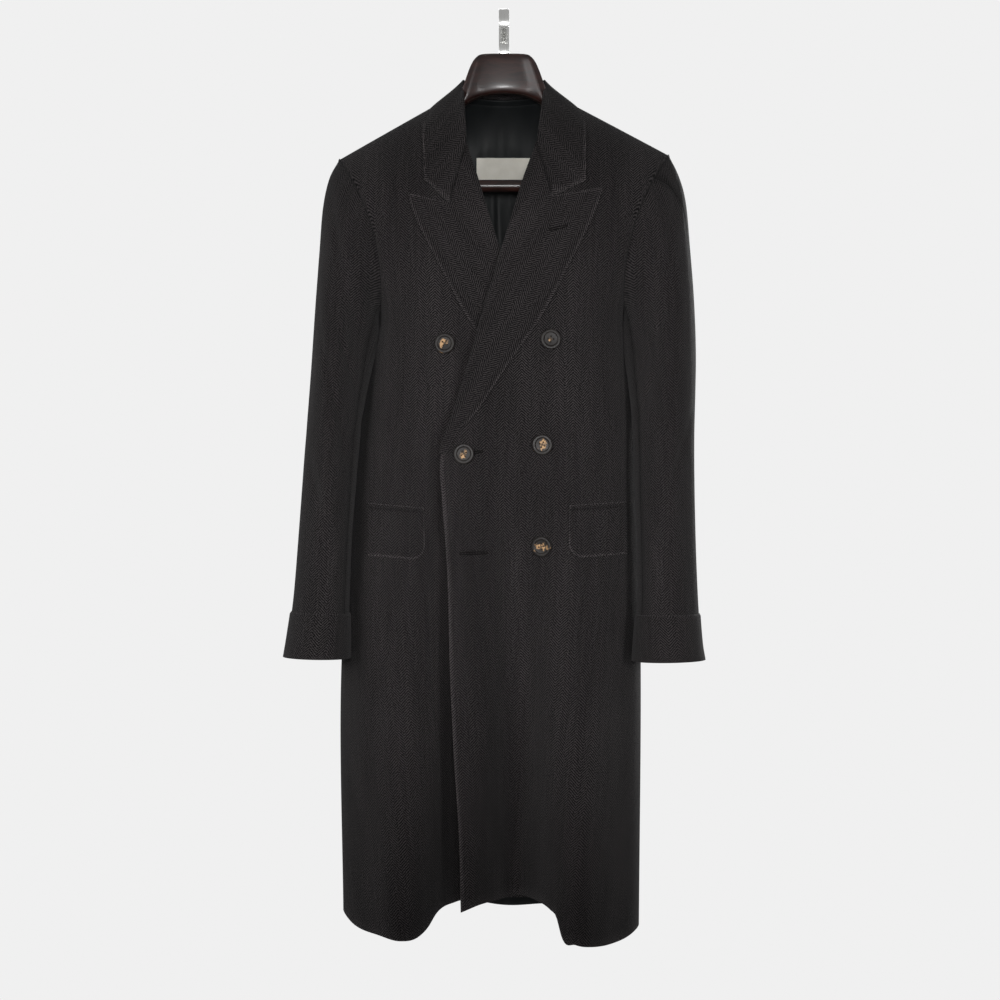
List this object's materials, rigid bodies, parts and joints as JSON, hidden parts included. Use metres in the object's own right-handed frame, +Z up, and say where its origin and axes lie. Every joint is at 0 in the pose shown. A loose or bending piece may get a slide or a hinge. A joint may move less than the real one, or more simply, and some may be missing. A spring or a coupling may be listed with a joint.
{
  "type": "double-breasted overcoat on a hanger",
  "caption": "Charcoal herringbone double-breasted overcoat with peak lapels, flap pockets and cuffed sleeves, hanging buttoned on a dark wooden hanger with a chrome strap hook",
  "frame": {"origin": "inside of the top of the hook, where the rail carries the hanger", "axes": "+Z up, -Y is the front of the coat, +X is the wearer's left"},
  "size_m": [0.5624, 0.2432, 1.252],
  "materials": {
    "charcoal_wool": "charcoal wool coating in a herringbone weave, matt with a slight nap",
    "lining_satin": "dark blue-grey satin lining",
    "label_cream": "cream woven label, bare",
    "button_horn": "dark polished horn with tan streaks",
    "hanger_wood": "dark red-brown lacquered wood",
    "hook_chrome": "polished chrome"
  },
  "bodies": {
    "root": {"front_right": "charcoal_wool", "front_left": "charcoal_wool", "back": "charcoal_wool", "lapel_right": "charcoal_wool", "lapel_left": "charcoal_wool", "collar_fall": "charcoal_wool", "collar_stand": "charcoal_wool", "top_sleeve_right": "charcoal_wool", "top_sleeve_left": "charcoal_wool", "under_sleeve_right": "charcoal_wool", "under_sleeve_left": "charcoal_wool", "cuff_right": "charcoal_wool", "cuff_left": "charcoal_wool", "pocket_flap_right": "charcoal_wool", "pocket_flap_left": "charcoal_wool", "pocket_welt_right": "charcoal_wool", "pocket_welt_left": "charcoal_wool", "back_lining": "lining_satin", "label": "label_cream", "button_upper_right": "button_horn", "button_upper_left": "button_horn", "button_middle_right": "button_horn", "button_middle_left": "button_horn", "button_lower_left": "button_horn", "hanger_body": "hanger_wood", "hanger_bar": "hanger_wood", "hanger_hook": "hook_chrome"}
  },
  "joints": []
}
